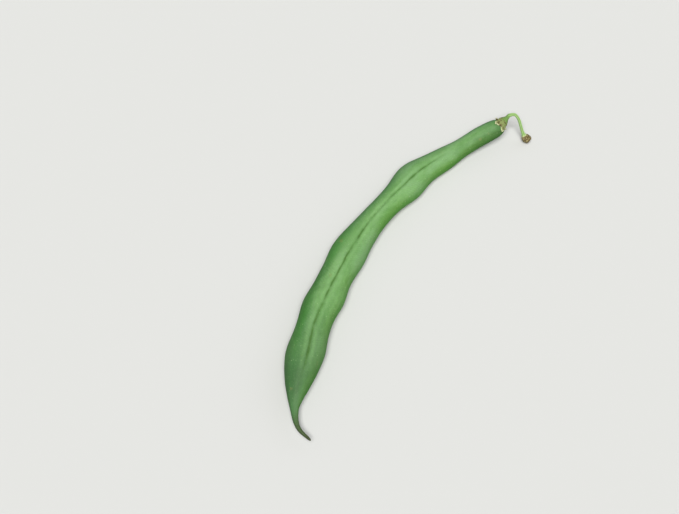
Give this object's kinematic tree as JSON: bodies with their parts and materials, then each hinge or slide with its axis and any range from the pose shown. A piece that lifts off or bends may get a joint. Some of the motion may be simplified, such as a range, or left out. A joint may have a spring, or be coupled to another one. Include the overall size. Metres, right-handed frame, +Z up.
{
  "type": "green bean",
  "caption": "Picked green bean pod lying on its side: a crescent pod with a seam groove, seed bulges and a hooked beak, with its dry calyx and a short curved stalk.",
  "frame": {"origin": "middle of the footprint, on the surface that the bean lies on", "axes": "+X along the pod's length from the beak to the stem end, +Y towards the outside of the crescent, +Z up"},
  "size_m": [0.1344, 0.0374, 0.0111],
  "materials": {
    "pod_skin": "satin green plant skin, with fine paler specks and a waxy sheen",
    "dry_calyx": "dry, matt, fibrous, tan to pale green",
    "stalk_skin": "satin pale green plant skin, with a matt tan knob at the end"
  },
  "bodies": {
    "root": {"pod": "pod_skin", "calyx": "dry_calyx", "stalk": "stalk_skin"}
  },
  "joints": []
}
